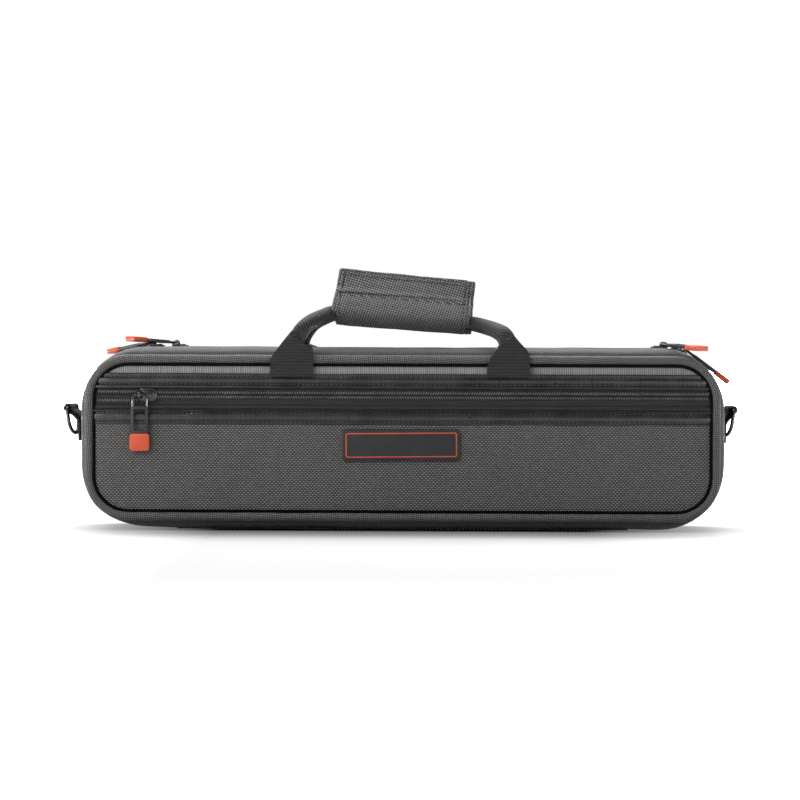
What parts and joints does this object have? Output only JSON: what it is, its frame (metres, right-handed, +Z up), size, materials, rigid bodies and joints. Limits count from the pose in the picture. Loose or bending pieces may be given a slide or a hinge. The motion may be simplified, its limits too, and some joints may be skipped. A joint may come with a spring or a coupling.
{
  "type": "flute case",
  "caption": "Soft zip-around flute case with padded gusset, front pocket, webbing handles with a padded grip, zipper pulls and D-rings for a strap.",
  "frame": {"origin": "on the ground under the middle of the case, which stands on its hinge side", "axes": "+X along the case to the right, -Y towards the pocket front, +Z up towards the grip"},
  "size_m": [0.4778, 0.1066, 0.1847],
  "materials": {
    "ballistic_weave": "woven nylon, matt with a slight sheen",
    "piping_weave": "woven nylon over cord",
    "leatherette": "fine grained, satin",
    "zipper_tape": "twill tape",
    "zipper_teeth": "nylon coil",
    "badge_rubber": "matt moulded",
    "orange_rubber": "matt moulded",
    "plush_lining": "short pile over foam",
    "stiff_board": "plain sheet",
    "black_webbing": "ribbed webbing",
    "grip_weave": "padded woven nylon with stitched edges",
    "touch_tape": "hook and loop pile",
    "black_metal": "black enamel",
    "pull_rubber": "satin moulded"
  },
  "bodies": {
    "core": {"core_gusset": "ballistic_weave", "core_front_zip_tape": "zipper_tape", "core_front_zip_teeth": "zipper_teeth", "core_rear_zip_tape": "zipper_tape", "core_rear_zip_teeth": "zipper_teeth", "instrument_insert": "plush_lining", "divider_board": "stiff_board", "core_hinge_leaf": "black_webbing", "ring_tab_left": "black_webbing", "ring_tab_right": "black_webbing"},
    "lid": {"front_panel_lower": "ballistic_weave", "front_panel_upper": "ballistic_weave", "upper_trim_band": "leatherette", "lower_trim_band": "leatherette", "pocket_lip": "ballistic_weave", "pocket_teeth_lower": "zipper_teeth", "pocket_teeth_upper": "zipper_teeth", "pocket_tape_lower": "zipper_tape", "pocket_tape_upper": "zipper_tape", "badge_base": "badge_rubber", "badge_frame": "orange_rubber", "front_piping": "piping_weave", "lid_gusset": "ballistic_weave", "lid_zip_tape": "zipper_tape", "lid_zip_teeth": "zipper_teeth", "lid_board": "stiff_board", "lid_lining": "plush_lining", "lid_hinge_leaf": "black_webbing", "handle_strap_front": "black_webbing"},
    "rear_door": {"rear_piping": "piping_weave", "door_gusset": "ballistic_weave", "door_zip_tape": "zipper_tape", "door_zip_teeth": "zipper_teeth", "back_panel": "ballistic_weave", "back_board": "stiff_board", "back_lining": "plush_lining", "door_hinge_leaf": "black_webbing", "handle_strap_rear": "black_webbing"},
    "grip_flap_front": {"grip_wrap_front": "grip_weave", "grip_hook_tape": "touch_tape"},
    "grip_flap_rear": {"grip_wrap_rear": "grip_weave", "grip_loop_tape": "touch_tape"},
    "d_ring_left": {"d_ring_left": "black_metal"},
    "d_ring_right": {"d_ring_right": "black_metal"},
    "pocket_slider": {"slider_pocket": "black_metal"},
    "pocket_pull": {"pull_pocket": "pull_rubber", "pull_tip_pocket": "orange_rubber"},
    "lid_inner_slider": {"slider_lid_inner": "black_metal"},
    "lid_inner_pull": {"pull_lid_inner": "pull_rubber", "pull_tip_lid_inner": "orange_rubber"},
    "lid_outer_slider": {"slider_lid_outer": "black_metal"},
    "lid_outer_pull": {"pull_lid_outer": "pull_rubber", "pull_tip_lid_outer": "orange_rubber"},
    "door_inner_slider": {"slider_door_inner": "black_metal"},
    "door_inner_pull": {"pull_door_inner": "pull_rubber", "pull_tip_door_inner": "orange_rubber"},
    "door_outer_slider": {"slider_door_outer": "black_metal"},
    "door_outer_pull": {"pull_door_outer": "pull_rubber", "pull_tip_door_outer": "orange_rubber"}
  },
  "joints": [
    {"name": "lid_hinge", "type": "hinge", "parent": "core", "child": "lid", "pos_m": [0, -0.017, -0.0002], "axis": [1, 0, 0], "range_deg": [0, 170]},
    {"name": "rear_door_hinge", "type": "hinge", "parent": "core", "child": "rear_door", "pos_m": [0, 0.019, -0.0002], "axis": [-1, 0, 0], "range_deg": [0, 125]},
    {"name": "grip_flap_front_peel", "type": "hinge", "parent": "lid", "child": "grip_flap_front", "pos_m": [-0.00185, -0.0073, 0.14243], "axis": [0.9965, 0, -0.0837], "range_deg": [0, 70]},
    {"name": "grip_flap_rear_peel", "type": "hinge", "parent": "rear_door", "child": "grip_flap_rear", "pos_m": [-0.00185, 0.0073, 0.14243], "axis": [-0.9965, 0, 0.0837], "range_deg": [0, 70]},
    {"name": "pocket_zip_slide", "type": "slide", "parent": "lid", "child": "pocket_slider", "axis": [1, 0, 0], "range_m": [0, 0.37]},
    {"name": "lid_inner_zip_slide", "type": "slide", "parent": "core", "child": "lid_inner_slider", "axis": [-1, 0, 0], "range_m": [0, 0.088]},
    {"name": "lid_outer_zip_corner", "type": "hinge", "parent": "core", "child": "lid_outer_slider", "pos_m": [0.1818, -0.017, 0.0835], "axis": [0, 1, 0], "range_deg": [0, 45]},
    {"name": "door_inner_zip_slide", "type": "slide", "parent": "core", "child": "door_inner_slider", "axis": [1, 0, 0], "range_m": [0, 0.06]},
    {"name": "door_outer_zip_corner", "type": "hinge", "parent": "core", "child": "door_outer_slider", "pos_m": [-0.1818, 0.019, 0.0835], "axis": [0, -1, 0], "range_deg": [0, 50]},
    {"name": "d_ring_left_swing", "type": "hinge", "parent": "core", "child": "d_ring_left", "pos_m": [-0.2376, 0.001, 0.0848], "axis": [0, 1, 0], "range_deg": [0, 150]},
    {"name": "d_ring_right_swing", "type": "hinge", "parent": "core", "child": "d_ring_right", "pos_m": [0.2332, 0.001, 0.0848], "axis": [0, -1, 0], "range_deg": [0, 150]},
    {"name": "pocket_pull_lift", "type": "hinge", "parent": "pocket_slider", "child": "pocket_pull", "pos_m": [-0.1839, -0.0479, 0.0951], "axis": [-1, 0, 0], "range_deg": [0, 160]},
    {"name": "lid_inner_pull_lift", "type": "hinge", "parent": "lid_inner_slider", "child": "lid_inner_pull", "pos_m": [0.1844, -0.017, 0.1317], "axis": [-0.766, -0.6428, 0], "range_deg": [0, 100]},
    {"name": "lid_outer_pull_lift", "type": "hinge", "parent": "lid_outer_slider", "child": "lid_outer_pull", "pos_m": [0.19915, -0.017, 0.12857], "axis": [0, -1, 0], "range_deg": [0, 110]},
    {"name": "door_inner_pull_lift", "type": "hinge", "parent": "door_inner_slider", "child": "door_inner_pull", "pos_m": [-0.1644, 0.019, 0.1317], "axis": [-0.6018, 0.7986, 0], "range_deg": [0, 95]},
    {"name": "door_outer_pull_lift", "type": "hinge", "parent": "door_outer_slider", "child": "door_outer_pull", "pos_m": [-0.1814, 0.019, 0.1317], "axis": [0.5736, 0.8191, 0], "range_deg": [0, 100]}
  ]
}
